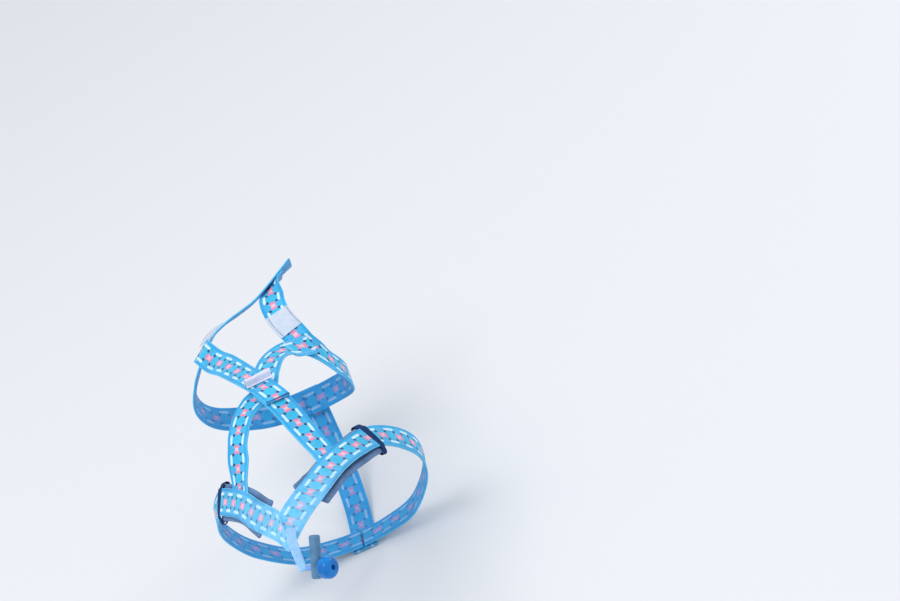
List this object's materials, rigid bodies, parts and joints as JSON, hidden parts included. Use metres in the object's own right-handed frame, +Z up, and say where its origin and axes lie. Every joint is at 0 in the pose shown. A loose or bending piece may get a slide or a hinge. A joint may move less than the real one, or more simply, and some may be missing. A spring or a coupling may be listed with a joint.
{
  "type": "sled dog harness",
  "caption": "X-back pulling harness of woven webbing for a sled dog, in its worn shape, with padded hip straps, a collar, a breast strap and a turning toggle at the tail.",
  "frame": {"origin": "on the dog's back, on the fur side of the harness, where the two back straps cross", "axes": "+Y the way the dog heads, +X its right, +Z up"},
  "size_m": [0.199, 0.4655, 0.2441],
  "materials": {
    "webbing": "woven polyester webbing, cyan blue with a coral, white and navy pattern",
    "padding": "grey padded liner",
    "binding": "navy woven binding tape",
    "reflective": "grey reflective tape",
    "label": "pale woven label, blank",
    "tail_webbing": "pale blue tubular webbing",
    "bead": "glossy blue plastic",
    "peg": "satin steel-blue plastic"
  },
  "bodies": {
    "harness": {"collar_right": "webbing", "collar_left": "webbing", "back_strap_under": "webbing", "back_strap_over_front": "webbing", "back_strap_over_rear": "webbing", "hip_strap_right": "webbing", "hip_strap_left": "webbing", "breast_strap": "webbing", "hip_pad_right": "padding", "hip_pad_left": "padding", "pad_binding_right": "binding", "pad_binding_left": "binding", "reflective_patch_right": "reflective", "reflective_patch_left": "reflective", "label_tab": "label", "tail_strip": "tail_webbing", "toggle_cord": "tail_webbing", "toggle_bead": "bead"},
    "toggle": {"toggle_peg": "peg"}
  },
  "joints": [
    {"name": "toggle_turn", "type": "hinge", "parent": "harness", "child": "toggle", "pos_m": [0.01705, -0.24134, -0.02032], "axis": [0.8074, -0.5831, 0.0897], "continuous": true}
  ]
}
